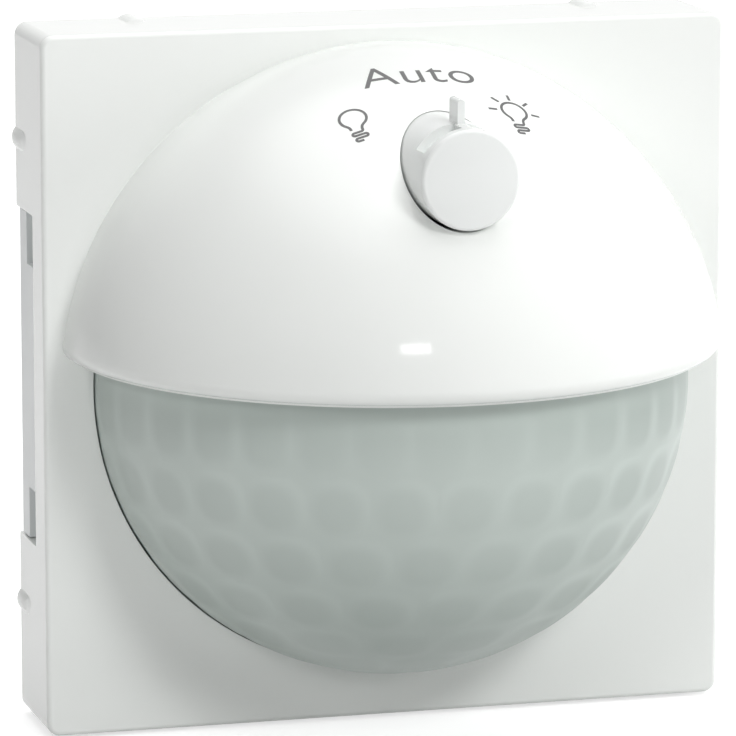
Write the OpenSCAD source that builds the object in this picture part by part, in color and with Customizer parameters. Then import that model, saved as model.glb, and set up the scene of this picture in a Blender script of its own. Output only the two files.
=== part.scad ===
// Motion sensor light switch: a square cover with a hooded sensor dome and a
// rotary mode knob, made to plug onto a flush insert in the wall.
// Millimetres. X points right, Z up and Y into the wall. The origin is the
// middle of the square of the cover's rear rim, in the plane of that rim.

/* [Cover] */
// Side of the square cover
plate_side = 70; // [69:0.5:80]
// Depth of the cover from its rear rim to its front face
plate_depth = 12.3; // [12:0.1:16]
// Thickness of the front wall
front_wall = 2; // [1.6:0.1:2.2]
// Thickness of the skirt
skirt_wall = 1.7; // [1.4:0.1:1.8]
// Radius of the cover's four corners
corner_r = 1.3; // [0.8:0.1:1.6]
// Chamfer along the front edges
edge_chamfer = 0.5; // [0.2:0.1:0.8]
// Half length of the notch in the left and right sides of the skirt
notch_half = 16.6; // [14:0.1:20]
// Depth of the skirt that is left in front of a notch
notch_land = 4.8; // [4.5:0.1:5.2]
// Distance of a snap nub from the middle of its side
nub_offset = 23.5; // [22:0.1:27]
// Width of a snap nub along its side
nub_width = 2.1; // [1.5:0.1:3]
// Length of a snap nub along the depth
nub_length = 4.6; // [3:0.1:5.5]
// Length of the ramp at the front of a snap nub
nub_ramp = 1.4; // [0.6:0.1:2]
// Height of a snap nub above the skirt
nub_height = 0.4; // [0.2:0.1:0.6]
// Height of the inner ribs that keep the rear tray in
rib_height = 0.7; // [0.4:0.1:0.9]
// Length of those ribs
rib_length = 16; // [8:0.5:24]

/* [Hood] */
// Distance from the foot of the hood to the sides of the cover
hood_margin = 1.6; // [1:0.1:5]
// Thickness of the hood
hood_wall = 2; // [1.6:0.1:2.4]
// Thickness of the hood at its lip
lip_wall = 3.3; // [2.8:0.1:4]
// Height of the hood's lower lip above the middle of the cover
lip_z = 2.7; // [1:0.1:5]
// Height of the thicker band above the lip
lip_band = 2.5; // [2:0.1:4]
// Chamfer under the outer edge of the lip
lip_chamfer = 1.2; // [0.5:0.1:1.5]

/* [Lens] */
// Thickness of the lens
lens_wall = 1.2; // [0.8:0.1:1.6]
// Gap between the lens and the cover round it
lens_gap = 0.2; // [0.15:0.05:0.3]
// How far the lens reaches up behind the lip
lens_tuck = 1.6; // [0.5:0.1:2]
// Width of the lens flange outside the dome
flange_w = 2.2; // [1.5:0.1:2.4]
// Thickness of the lens flange
flange_t = 1; // [0.8:0.1:1.2]
// Thickness of the retainer frame behind the flange
retainer_t = 1.3; // [1:0.1:1.5]
// Distance of the retainer's screws from the inside of the skirt
retainer_screw_inset = 5.8; // [5:0.1:6.5]

/* [Knob] */
// Distance of the knob's axis below the top of the hood
knob_drop = 9.7; // [8.4:0.1:11]
// Radius of the knob inside the hood
knob_r = 5; // [4.5:0.05:5.3]
// Draft of the knob's side outside the hood, in degrees
knob_draft = 0.8; // [0.4:0.1:2.4]
// Gap round the knob in its sleeve
knob_gap = 0.1; // [0.06:0.02:0.2]
// How far the knob's face stands in front of the hood on the knob's axis
knob_reach = 5.6; // [5:0.1:7]
// Chamfer round the knob's face
knob_chamfer = 0.4; // [0.2:0.1:0.8]
// Depth of the knob's sleeve behind the hood's surface on the knob's axis
sleeve_depth = 12.1; // [11:0.1:13]
// Wall of the knob's sleeve
sleeve_wall = 1.5; // [1:0.1:2]
// Thickness of the web that guides the knob's stem
web_t = 2; // [1.5:0.1:2.5]
// Radius of the knob's stem
stem_r = 2.5; // [2.2:0.1:2.8]
// Running clearance of shafts in their bores
run_gap = 0.05; // [0.03:0.01:0.08]
// Side of the square drive at the end of the stem
drive_side = 2.8; // [2.4:0.1:3]
// Distance from the knob's axis to the tip of the pointer fin
fin_reach = 7.2; // [6.4:0.1:8]
// Thickness of the pointer fin
fin_t = 0.72; // [0.6:0.02:1.2]
// Length of the pointer fin along the knob's axis
fin_length = 2.8; // [2:0.1:3.4]
// Distance of the fin behind the knob's face
fin_setback = 3.7; // [3:0.1:4.2]
// Radial depth of the finger hollows beside the fin
hollow_depth = 0.85; // [0.4:0.05:1.2]
// Angle that each finger hollow spans
hollow_angle = 53; // [30:1:70]
// Outer radius of the clip behind the web
clip_r = 4.4; // [3.8:0.1:5]
// Thickness of that clip
clip_t = 0.8; // [0.5:0.1:1]

/* [Board and tray] */
// Thickness of the circuit board
board_t = 1.6; // [1.2:0.1:1.8]
// Gap between the board and the retainer frame
board_gap = 0.4; // [0.3:0.1:0.6]
// Height of the tray's standoffs behind the board
standoff_h = 3; // [2.8:0.1:3.2]
// Thickness of the tray's rear plate
carrier_t = 1.5; // [1.2:0.1:1.6]
// Thickness of the tray's side walls
carrier_wall = 1.2; // [1:0.1:1.5]
// How far a side tongue lies in from the outside of the skirt
tongue_inset = 0.2; // [0.1:0.1:0.6]
// How far a side tongue reaches behind the tray's rear plate
tongue_foot = 0.7; // [0.3:0.1:1]
// Height above the middle at which the windows at a tongue's ends start
window_start = 11.3; // [9:0.1:12.5]
// Length of those windows along the cover's depth
window_depth = 3.5; // [2.5:0.1:4]
// How deep those windows are sunk into the tongue
window_sink = 1.5; // [0.8:0.1:2]
// Loose fit between the parts that slide together
fit_gap = 0.15; // [0.1:0.05:0.2]

/* [Screws] */
// Shank radius of the small screws
screw_r = 1; // [0.8:0.05:1.1]
// Head radius of the small screws
screw_head_r = 2; // [1.7:0.1:2.2]
// Head height of the small screws
screw_head_t = 1.2; // [0.9:0.1:1.3]

/* [Sensors] */
// Angle by which each infrared sensor looks to its side
pir_yaw = 40; // [25:1:44]
// Radius of a sensor can
pir_r = 4.1; // [3.6:0.1:4.3]
// Height of a sensor can
pir_h = 4.2; // [3.4:0.1:5]
// Distance of each sensor from the middle
pir_offset = 7.5; // [7:0.1:9]
// Distance of the middle of a can's base in front of the board
pir_seat = 3.6; // [3.6:0.1:4.4]

/* [Setting trimmers and plug] */
// Distance between neighbouring trimmers
trimmer_pitch = 14; // [10:0.5:15]
// Side of a trimmer's housing
trimmer_side = 6.4; // [6:0.1:8]
// Height of a trimmer's housing
trimmer_h = 2.6; // [2.4:0.1:2.7]
// Radius of a trimmer's dial
dial_r = 2.2; // [1.8:0.1:2.5]
// Width of the screwdriver slot in a dial
dial_slot = 0.7; // [0.5:0.1:1]
// Distance between neighbouring plug pins
pin_pitch = 2.54; // [2:0.01:2.8]
// Side of a plug pin
pin_side = 0.64; // [0.5:0.02:0.8]
// Wall of the plug's shroud
shroud_wall = 0.8; // [0.6:0.1:1]

/* [Hidden] */
$fn = 96;
// Overlap that makes cuts and joints clean
cut = 1;

// Places along the depth are distances in front of the rear rim.
inner_f = plate_depth - front_wall;
flange_f = inner_f - flange_t;
retainer_f = flange_f - retainer_t;
board_front_f = retainer_f - board_gap;
board_rear_f = board_front_f - board_t;
carrier_front_f = board_rear_f - standoff_h;
carrier_rear_f = carrier_front_f - carrier_t;

// Half sides of the nested squares
half = plate_side / 2;
skirt_in = half - skirt_wall;
carrier_half = skirt_in - fit_gap;
carrier_in = carrier_half - carrier_wall;
board_clear = 0.6;
board_half = carrier_in - board_clear;

// Retainer screws
retainer_screw = skirt_in - retainer_screw_inset;
boss_wall = 1.6;
screw_grip = 1.2;

// Hood and lens, both balls about the middle of the front face
hood_r = half - hood_margin;
lens_r = hood_r - lip_wall - lens_gap;
lens_top = lip_z + lens_tuck;
lens_in = lens_r - lens_wall;
neck_step = 0.15;
neck_reach = 0.5;
flange_r = lens_r + flange_w;

// Knob: its axis, then places along the depth
knob_z = hood_r - knob_drop;
hood_f = plate_depth + sqrt(hood_r * hood_r - knob_z * knob_z);
knob_face_f = hood_f + knob_reach;
web_front_f = hood_f - sleeve_depth;
web_rear_f = web_front_f - web_t;
end_gap = 0.3;
head_rear_f = web_front_f + end_gap;
clip_front_f = web_rear_f - end_gap;
sleeve_r = knob_r + knob_gap;
hood_high_f = plate_depth + sqrt(hood_r * hood_r - pow(knob_z + sleeve_r, 2));
knob_edge_f = knob_face_f - knob_chamfer;
knob_edge_r = knob_r - (knob_edge_f - hood_high_f) * tan(knob_draft);
fin_tip_round = 0.8;
hollow_front_setback = 1.6;
hollow_rear_setback = 4.5;
hollow_rear_f = knob_face_f - hollow_rear_setback;
hollow_r = knob_r - (hollow_rear_f - hood_high_f) * tan(knob_draft) - hollow_depth;
fin_half_angle = 6;

// Rotary switch on the board
switch_side = 9;
switch_room = 1;
switch_h = 5;
rotor_r = 3.2;
rotor_proud = 0.4;
rotor_floor = 1.1;
socket_floor = 0.7;
socket_gap = 0.05;
switch_front_f = board_front_f + switch_h;
rotor_rear_f = board_front_f + rotor_floor;
rotor_front_f = switch_front_f + rotor_proud;
socket_f = rotor_rear_f + socket_floor;
drive_end_f = socket_f + end_gap;
drive_start_f = rotor_front_f + end_gap;
switch_pin_r = 0.35;
switch_pin_pitch = 3;
switch_pin_row = 3.2;
pin_tail = 0.8;
hole_gap = 0.1;

// Board screws, as X and Z places on a ring inside the lens
board_screw_gap = 2.4;
board_screw_ring = lens_in - screw_head_r - board_screw_gap;
board_screw_angles = [35, 145, -48, -132];
board_screw_places = [for (a = board_screw_angles) board_screw_ring * [cos(a), sin(a)]];
standoff_r = 2.2;

// Infrared sensors
pir_z = -1;
pir_rim = 0.5;
pir_rim_t = 0.6;
pir_cup_wall = 0.7;
pir_window_w = 4;
pir_window_h = 3;
pir_window_t = 0.25;
lead_circle = 2.54;
lead_r = 0.23;
lead_length = 8;
holder_floor = 1.2;

// Trimmers and plug on the rear of the board
trimmer_z = -8;
trimmer_f = board_rear_f - trimmer_h;
dial_poke = 0.4;
dial_depth = 1.3;
dial_slot_depth = 0.6;
dial_hole_gap = 0.6;
dial_hole_r = dial_r + dial_hole_gap;
plug_z = 6;
plug_columns = 5;
plug_rows = 2;
plug_margin = 1.6;
plug_w = (plug_columns - 1) * pin_pitch + 2 * plug_margin;
plug_h = (plug_rows - 1) * pin_pitch + 2 * plug_margin;
plug_proud = 0.3;
plug_rear_f = carrier_rear_f - plug_proud;
plug_base = 2;
pin_recess = 0.4;
pin_solder = 0.6;

// Rows of small parts on the front of the board
row_inset = 5.3;
row_gap = 4.1;
low_row_z = row_inset - lens_in;
high_row_z = knob_z - switch_side / 2 - row_gap;
chip_rise = 6.5;

// Draws a flat shape between two places along the depth
module slab(f0, f1) {
    translate([0, -f0, 0]) rotate([90, 0, 0]) linear_extrude(f1 - f0) children();
}

// A rod along the depth
module rod(x, z, r, f0, f1) {
    translate([x, -f0, z]) rotate([90, 0, 0]) cylinder(r = r, h = f1 - f0);
}

// A box centred in X and Z between two places along the depth
module block(x, z, w, h, f0, f1) {
    slab(f0, f1) translate([x, z]) square([w, h], center = true);
}

// A ball about the middle of the front face, with its poles along the depth
module dome(r) {
    translate([0, -plate_depth, 0]) rotate([90, 0, 0]) sphere(r = r);
}

// Everything above a height
module above(z) {
    reach = 2 * plate_side;
    translate([-reach / 2, -reach, z]) cube([reach, 2 * reach, reach]);
}

// Everything in front of a place along the depth
module in_front_of(f) {
    reach = 2 * plate_side;
    translate([-reach / 2, -f - reach, -reach / 2]) cube([reach, reach, reach]);
}

module rounded_square(side, r) {
    square([side - 2 * r, side], center = true);
    square([side, side - 2 * r], center = true);
    for (x = [-1, 1], y = [-1, 1])
        translate([x * (side / 2 - r), y * (side / 2 - r)]) circle(r = r);
}

// Four places, one in each corner
module in_corners(d) {
    for (x = [-1, 1], z = [-1, 1]) translate([x * d, 0, z * d]) children();
}

// Four sides, each turned to the left side in turn
module on_sides(count = 4) {
    for (i = [0 : count - 1]) rotate([0, i * 360 / count, 0]) children();
}

module plate_edge_cut() {
    reach = 2 * plate_side;
    side = edge_chamfer * sqrt(2);
    translate([-half, -plate_depth, 0]) rotate([0, 0, 45])
        cube([side, side, reach], center = true);
}

// Half-round ribs along the depth that start at the rear and end in a ramp
module snap_nub() {
    nub_r = (nub_width * nub_width / 4 + nub_height * nub_height) / (2 * nub_height);
    nub_rear_f = 0.2;
    ramp_f = nub_rear_f + nub_length - nub_ramp;
    for (z = [-1, 1]) intersection() {
        translate([-half - nub_height + nub_r, 0, z * nub_offset]) {
            rod(0, 0, nub_r, nub_rear_f, ramp_f);
            translate([0, -ramp_f, 0]) rotate([90, 0, 0])
                cylinder(r1 = nub_r, r2 = nub_r - nub_height, h = nub_ramp);
        }
        translate([-half - cut, -plate_depth, z * nub_offset - nub_width])
            cube([cut + skirt_wall / 2, plate_depth, 2 * nub_width]);
    }
}

module skirt_notch() {
    translate([-half - cut, -(plate_depth - notch_land), -notch_half])
        cube([skirt_wall + 2 * cut, plate_depth - notch_land + cut, 2 * notch_half]);
}

// The ribs hook behind the rear plate of the tray.
module tray_ribs() {
    rib_t = 0.8;
    rib_front_f = carrier_rear_f - fit_gap;
    for (z = [-1, 1])
        block(0, z * (skirt_in - rib_height / 2 + cut / 2), rib_length, rib_height + cut,
              rib_front_f - rib_t, rib_front_f);
}

module lip_cut() {
    lip_r = sqrt(hood_r * hood_r - lip_z * lip_z);
    translate([0, -plate_depth, 0]) rotate_extrude()
        polygon([[lip_r - lip_chamfer, lip_z - cut], [lip_r - lip_chamfer, lip_z],
                 [lip_r + cut, lip_z + lip_chamfer + cut], [lip_r + cut, lip_z - cut]]);
}

module hood_body() {
    difference() {
        intersection() {
            dome(hood_r);
            above(lip_z);
            in_front_of(plate_depth - front_wall / 2);
        }
        intersection() {
            lip_cut();
            in_front_of(plate_depth);
        }
    }
}

module hood_hollow() {
    dome(lens_r + lens_gap);
    intersection() {
        dome(hood_r - hood_wall);
        above(lip_z + lip_band);
    }
}

module knob_sleeve() {
    intersection() {
        rod(0, knob_z, sleeve_r + sleeve_wall, web_rear_f, hood_f + hood_r);
        dome(hood_r - hood_wall / 2);
    }
}

module cover_shell() color("whitesmoke") {
    difference() {
        union() {
            difference() {
                union() {
                    difference() {
                        slab(0, plate_depth) rounded_square(plate_side, corner_r);
                        slab(-cut, inner_f) square(2 * skirt_in, center = true);
                        on_sides() plate_edge_cut();
                        on_sides(2) skirt_notch();
                    }
                    on_sides() snap_nub();
                    tray_ribs();
                    in_corners(retainer_screw)
                        rod(0, 0, screw_r + boss_wall, flange_f, inner_f + front_wall / 2);
                    hood_body();
                }
                hood_hollow();
            }
            knob_sleeve();
        }
        rod(0, knob_z, sleeve_r, web_front_f, hood_f + hood_r);
        rod(0, knob_z, stem_r + run_gap, web_rear_f - cut, web_front_f + cut);
        in_corners(retainer_screw)
            rod(0, 0, screw_r + run_gap, flange_f - cut, inner_f + screw_grip + run_gap);
    }
}

module lens() color("honeydew") {
    neck_f = plate_depth + neck_reach;
    difference() {
        union() {
            intersection() {
                dome(lens_r);
                in_front_of(plate_depth - front_wall / 2);
            }
            rod(0, 0, lens_r - neck_step, flange_f, neck_f);
            rod(0, 0, flange_r, flange_f, inner_f);
        }
        dome(lens_in);
        rod(0, 0, lens_in - neck_step, flange_f - cut, neck_f);
        above(lens_top);
    }
}

module lens_retainer() color("lightgrey") {
    switch_hole = switch_side + 2 * switch_room;
    difference() {
        block(0, 0, 2 * carrier_half, 2 * carrier_half, retainer_f, flange_f);
        rod(0, 0, lens_in, retainer_f - cut, flange_f + cut);
        block(0, knob_z, switch_hole, switch_hole, retainer_f - cut, flange_f + cut);
        in_corners(retainer_screw)
            rod(0, 0, screw_r + hole_gap, retainer_f - cut, flange_f + cut);
    }
}

// A pan-head screw with a crossed recess; the head's flat rests at seat_f.
// way is 1 if the shank points forward and -1 if it points back.
module screw(x, z, seat_f, length, way) {
    recess_w = 0.5;
    recess_l = 2;
    recess_d = 0.6;
    head_f = seat_f - way * screw_head_t;
    tip_f = seat_f + way * length;
    recess_f = head_f + way * recess_d;
    difference() {
        union() {
            rod(x, z, screw_head_r, min(head_f, seat_f), max(head_f, seat_f));
            rod(x, z, screw_r, min(seat_f - way * recess_d / 4, tip_f), max(seat_f - way * recess_d / 4, tip_f));
        }
        for (turn = [0, 1])
            block(x, z, turn ? recess_l : recess_w, turn ? recess_w : recess_l,
                  min(recess_f, head_f - way * cut), max(recess_f, head_f - way * cut));
    }
}

module retainer_screws() color("silver") {
    for (x = [-1, 1], z = [-1, 1])
        screw(x * retainer_screw, z * retainer_screw, retainer_f,
              inner_f + screw_grip - retainer_f, 1);
}

// A curved hollow beside the fin; side is 1 for the left one and -1 for the right.
module finger_hollow(side) {
    start = 90 + fin_half_angle;
    end = start + hollow_angle;
    outside = 2 * knob_r;
    mirror([side > 0 ? 0 : 1, 0, 0]) translate([0, 0, knob_z])
        slab(hollow_rear_f, knob_face_f - hollow_front_setback)
            difference() {
                polygon([[0, 0], outside * [cos(start), sin(start)], outside * [cos(end), sin(end)]]);
                circle(r = hollow_r);
            }
}

module pointer_fin() {
    fin_front_f = knob_face_f - fin_setback;
    fin_rear_f = fin_front_f - fin_length;
    fin_root = hollow_r - fin_t;
    small_round = 0.3;
    translate([-fin_t / 2, 0, knob_z]) rotate([90, 0, 90]) linear_extrude(fin_t)
        polygon([[-fin_rear_f, fin_root], [-fin_rear_f, fin_reach - small_round],
                 [-fin_rear_f - small_round, fin_reach], [-fin_front_f + fin_tip_round, fin_reach],
                 [-fin_front_f, fin_reach - fin_tip_round], [-fin_front_f, fin_root]]);
}

module mode_knob() color("white") {
    difference() {
        translate([0, 0, knob_z]) rotate([90, 0, 0]) rotate_extrude()
            polygon([[0, head_rear_f], [knob_r, head_rear_f], [knob_r, hood_high_f],
                     [knob_edge_r, knob_edge_f], [knob_edge_r - knob_chamfer, knob_face_f],
                     [0, knob_face_f]]);
        for (side = [-1, 1]) finger_hollow(side);
    }
    pointer_fin();
    rod(0, knob_z, stem_r, drive_start_f, head_rear_f + cut);
    block(0, knob_z, drive_side, drive_side, drive_end_f, drive_start_f + cut);
}

module knob_clip() color("silver") {
    difference() {
        rod(0, knob_z, clip_r, clip_front_f - clip_t, clip_front_f);
        rod(0, knob_z, stem_r, clip_front_f - clip_t - cut, clip_front_f + cut);
    }
}

module switch_body() color("dimgray") {
    difference() {
        block(0, knob_z, switch_side, switch_side, board_front_f, switch_front_f);
        rod(0, knob_z, rotor_r + run_gap, rotor_rear_f - hole_gap, switch_front_f + cut);
    }
}

module switch_rotor() color("ivory") {
    socket = drive_side + 2 * socket_gap;
    difference() {
        rod(0, knob_z, rotor_r, rotor_rear_f, rotor_front_f);
        block(0, knob_z, socket, socket, socket_f, rotor_front_f + cut);
    }
}

// Two rows of three places round the switch
module at_switch_pins() {
    for (x = [-1 : 1], z = [-1, 1])
        translate([x * switch_pin_pitch, 0, knob_z + z * switch_pin_row]) children();
}

module switch_pins() color("gold") {
    at_switch_pins() rod(0, 0, switch_pin_r, board_rear_f - pin_tail, board_front_f);
}

module at_plug_pins() {
    for (i = [0 : plug_columns - 1], j = [0 : plug_rows - 1])
        translate([(i - (plug_columns - 1) / 2) * pin_pitch, 0,
                   plug_z + (j - (plug_rows - 1) / 2) * pin_pitch]) children();
}

module main_board() color("seagreen") {
    arm = retainer_screw - screw_head_r - board_clear;
    difference() {
        union() {
            block(0, 0, 2 * board_half, 2 * arm, board_rear_f, board_front_f);
            block(0, 0, 2 * arm, 2 * board_half, board_rear_f, board_front_f);
        }
        at_switch_pins()
            rod(0, 0, switch_pin_r + hole_gap, board_rear_f - cut, board_front_f + cut);
        at_plug_pins()
            rod(0, 0, pin_side * sqrt(2) / 2 + hole_gap, board_rear_f - cut, board_front_f + cut);
        for (p = board_screw_places)
            rod(p[0], p[1], screw_r + hole_gap, board_rear_f - cut, board_front_f + cut);
    }
}

// The frame of one sensor: its origin is the middle of the can's base and its
// Z axis is the way that the sensor looks.
module at_pir(side) {
    translate([side * pir_offset, -(board_front_f + pir_seat), pir_z])
        rotate([0, 0, side * pir_yaw]) rotate([90, 0, 0]) children();
}

module sensor_holder() color("darkslategray") {
    cup_r = pir_r + pir_rim + pir_cup_wall;
    holder_w = 2 * (pir_offset + cup_r);
    well_r = lead_circle + 2 * lead_r;
    difference() {
        intersection() {
            union() {
                block(0, pir_z, holder_w, 2 * cup_r, board_front_f, board_front_f + holder_floor);
                for (side = [-1, 1])
                    at_pir(side) translate([0, 0, -lead_length]) cylinder(r = cup_r, h = lead_length + pir_rim_t);
            }
            in_front_of(board_front_f);
        }
        for (side = [-1, 1]) at_pir(side) {
            cylinder(r = pir_r + pir_rim + fit_gap, h = pir_h);
            translate([0, 0, -lead_length - cut]) cylinder(r = well_r, h = lead_length + 2 * cut);
        }
    }
}

module pir_can(side) {
    at_pir(side) difference() {
        union() {
            cylinder(r = pir_r + pir_rim, h = pir_rim_t);
            cylinder(r = pir_r, h = pir_h);
        }
        translate([0, 0, pir_h])
            cube([pir_window_w + fit_gap, pir_window_h + fit_gap, 2 * pir_window_t], center = true);
    }
}

module pir_can_left() color("silver") pir_can(-1);
module pir_can_right() color("silver") pir_can(1);

module pir_window(side) {
    at_pir(side) translate([0, 0, pir_h - pir_window_t / 2])
        cube([pir_window_w, pir_window_h, pir_window_t], center = true);
}

module pir_window_left() color("darkslateblue") pir_window(-1);
module pir_window_right() color("darkslateblue") pir_window(1);

module pir_leads() color("gold") {
    intersection() {
        for (side = [-1, 1], turn = [0 : 2])
            at_pir(side) rotate([0, 0, 120 * turn]) translate([lead_circle, 0, -lead_length])
                cylinder(r = lead_r, h = lead_length);
        in_front_of(board_front_f);
    }
}

module status_led() color("firebrick") {
    led_x = 0;
    led_z = -12;
    led_r = 1.5;
    led_h = 3.2;
    rim = 0.25;
    rim_h = 0.8;
    rod(led_x, led_z, led_r + rim, board_front_f, board_front_f + rim_h);
    rod(led_x, led_z, led_r, board_front_f, board_front_f + led_h);
    translate([led_x, -(board_front_f + led_h), led_z]) rotate([90, 0, 0]) sphere(r = led_r - rim / 4);
}

module light_sensor() color("black") {
    sensor_x = 6;
    sensor_z = low_row_z + chip_rise;
    body_w = 4.6;
    body_l = 3.6;
    body_h = 1.2;
    eye_r = 1.2;
    eye_h = 0.4;
    block(sensor_x, sensor_z, body_w, body_l, board_front_f, board_front_f + body_h);
    rod(sensor_x, sensor_z, eye_r, board_front_f + body_h / 2, board_front_f + body_h + eye_h);
}

module controller_chip() color("black") {
    chip_x = -7;
    chip_z = low_row_z + chip_rise;
    chip_side = 7;
    chip_h = 1.2;
    leg_reach = 0.8;
    leg_w = 0.35;
    leg_pitch = 0.8;
    leg_h = 0.4;
    legs_half = 3; // legs on each side of the middle one
    block(chip_x, chip_z, chip_side, chip_side, board_front_f, board_front_f + chip_h);
    for (i = [-legs_half : legs_half]) {
        block(chip_x + i * leg_pitch, chip_z, leg_w, chip_side + 2 * leg_reach,
              board_front_f, board_front_f + leg_h);
        block(chip_x, chip_z + i * leg_pitch, chip_side + 2 * leg_reach, leg_w,
              board_front_f, board_front_f + leg_h);
    }
}

module clock_crystal() color("silver") {
    crystal_x = -19;
    crystal_z = -6;
    crystal_w = 4.5;
    crystal_l = 11;
    crystal_h = 3.4;
    straight = crystal_l - crystal_w;
    slab(board_front_f, board_front_f + crystal_h) translate([crystal_x, crystal_z]) {
        square([crystal_w, straight], center = true);
        for (y = [-1, 1]) translate([0, y * straight / 2]) circle(d = crystal_w);
    }
}

module supply_capacitors() color("lightsteelblue") {
    can_x = 19;
    can_z = -3;
    can_gap = 7.5;
    can_r = 3;
    can_h = 5.4;
    base = 6.6;
    base_h = 1;
    for (z = [-1, 1]) {
        block(can_x, can_z + z * can_gap / 2, base, base, board_front_f, board_front_f + base_h);
        rod(can_x, can_z + z * can_gap / 2, can_r, board_front_f, board_front_f + can_h);
    }
}

module voltage_regulator() color("black") {
    regulator_x = -19;
    regulator_z = 5;
    body_w = 6.5;
    body_l = 3.6;
    body_h = 1.6;
    tab_w = 3;
    tab_l = 6.4;
    tab_h = 0.4;
    block(regulator_x, regulator_z, body_w, body_l, board_front_f, board_front_f + body_h);
    block(regulator_x, regulator_z, tab_w, tab_l, board_front_f, board_front_f + tab_h);
}

module chip_resistors() color("dimgray") {
    per_row = 6;
    spacing = 3.6;
    resistor_w = 2;
    resistor_l = 1.25;
    resistor_h = 0.5;
    for (z = [low_row_z, high_row_z], i = [0 : per_row - 1])
        block((i - (per_row - 1) / 2) * spacing, z, resistor_w, resistor_l,
              board_front_f, board_front_f + resistor_h);
}

module plug_header() color("black") {
    difference() {
        block(0, plug_z, plug_w, plug_h, plug_rear_f, board_rear_f);
        block(0, plug_z, plug_w - 2 * shroud_wall, plug_h - 2 * shroud_wall,
              plug_rear_f - cut, board_rear_f - plug_base);
        at_plug_pins()
            block(0, 0, pin_side + socket_gap, pin_side + socket_gap,
                  plug_rear_f - cut, board_rear_f + cut);
    }
}

module plug_pins() color("gold") {
    at_plug_pins()
        block(0, 0, pin_side, pin_side, plug_rear_f + pin_recess, board_front_f + pin_solder);
}

// place counts the trimmers from the left as seen from the front: -1, 0 or 1
module trimmer(place) {
    x = place * trimmer_pitch;
    difference() {
        block(x, trimmer_z, trimmer_side, trimmer_side, trimmer_f, board_rear_f);
        rod(x, trimmer_z, dial_r + run_gap, trimmer_f - cut, trimmer_f + dial_depth + hole_gap);
    }
}

module dial(place) {
    x = place * trimmer_pitch;
    dial_rear_f = carrier_front_f - dial_poke;
    difference() {
        rod(x, trimmer_z, dial_r, dial_rear_f, trimmer_f + dial_depth);
        block(x, trimmer_z, dial_slot, 2 * dial_r + cut, dial_rear_f - cut, dial_rear_f + dial_slot_depth);
    }
}

module lux_trimmer() color("royalblue") trimmer(-1);
module time_trimmer() color("royalblue") trimmer(0);
module range_trimmer() color("royalblue") trimmer(1);
module lux_dial() color("ivory") dial(-1);
module time_dial() color("ivory") dial(0);
module range_dial() color("ivory") dial(1);

// A tongue that fills the notch in the left side of the skirt
module side_tongue() {
    tongue_half = notch_half - fit_gap;
    tongue_front_f = plate_depth - notch_land - fit_gap;
    tongue_rear_f = carrier_rear_f - tongue_foot;
    translate([-half + tongue_inset, -tongue_front_f, -tongue_half])
        cube([half - tongue_inset - carrier_in, tongue_front_f - tongue_rear_f, 2 * tongue_half]);
}

// The sunk windows at the two ends of that tongue
module tongue_windows() {
    tongue_front_f = plate_depth - notch_land - fit_gap;
    length = notch_half - fit_gap - window_start + cut;
    for (z = [-1, 1])
        translate([-half - cut, -tongue_front_f - cut, z * (window_start + length / 2) - length / 2])
            cube([cut + tongue_inset + window_sink, window_depth + cut, length]);
}

module rear_carrier() color("aliceblue") {
    plug_room = 0.3;
    wall_front_f = retainer_f - fit_gap;
    difference() {
        union() {
            difference() {
                block(0, 0, 2 * carrier_half, 2 * carrier_half, carrier_rear_f, wall_front_f);
                block(0, 0, 2 * carrier_in, 2 * carrier_in, carrier_front_f, wall_front_f + cut);
            }
            on_sides(2) side_tongue();
            for (p = board_screw_places)
                rod(p[0], p[1], standoff_r, carrier_front_f - carrier_t / 2, board_rear_f);
        }
        on_sides(2) tongue_windows();
        for (place = [-1 : 1])
            rod(place * trimmer_pitch, trimmer_z, dial_hole_r, carrier_rear_f - cut, carrier_front_f + cut);
        block(0, plug_z, plug_w + 2 * plug_room, plug_h + 2 * plug_room,
              carrier_rear_f - cut, carrier_front_f + cut);
        for (p = board_screw_places)
            rod(p[0], p[1], screw_r + run_gap, carrier_front_f - run_gap, board_rear_f + cut);
    }
}

module board_screws() color("silver") {
    for (p = board_screw_places)
        screw(p[0], p[1], board_front_f, board_front_f - carrier_front_f, -1);
}

cover_shell();
lens();
lens_retainer();
retainer_screws();
mode_knob();
knob_clip();
switch_body();
switch_rotor();
switch_pins();
main_board();
sensor_holder();
pir_can_left();
pir_can_right();
pir_window_left();
pir_window_right();
pir_leads();
status_led();
light_sensor();
controller_chip();
clock_crystal();
supply_capacitors();
voltage_regulator();
chip_resistors();
plug_header();
plug_pins();
lux_trimmer();
lux_dial();
time_trimmer();
time_dial();
range_trimmer();
range_dial();
rear_carrier();
board_screws();
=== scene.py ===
"""Looks of a motion sensor light switch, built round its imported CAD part.

Pieces are modelled in millimetres in the part's own frame: X to the right, Y into the wall, Z up,
with the origin in the middle of the cover's rear rim. Each is scaled to metres when it is finished.
"""
import math

import bmesh
import bpy
from mathutils import Matrix, Vector


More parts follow.
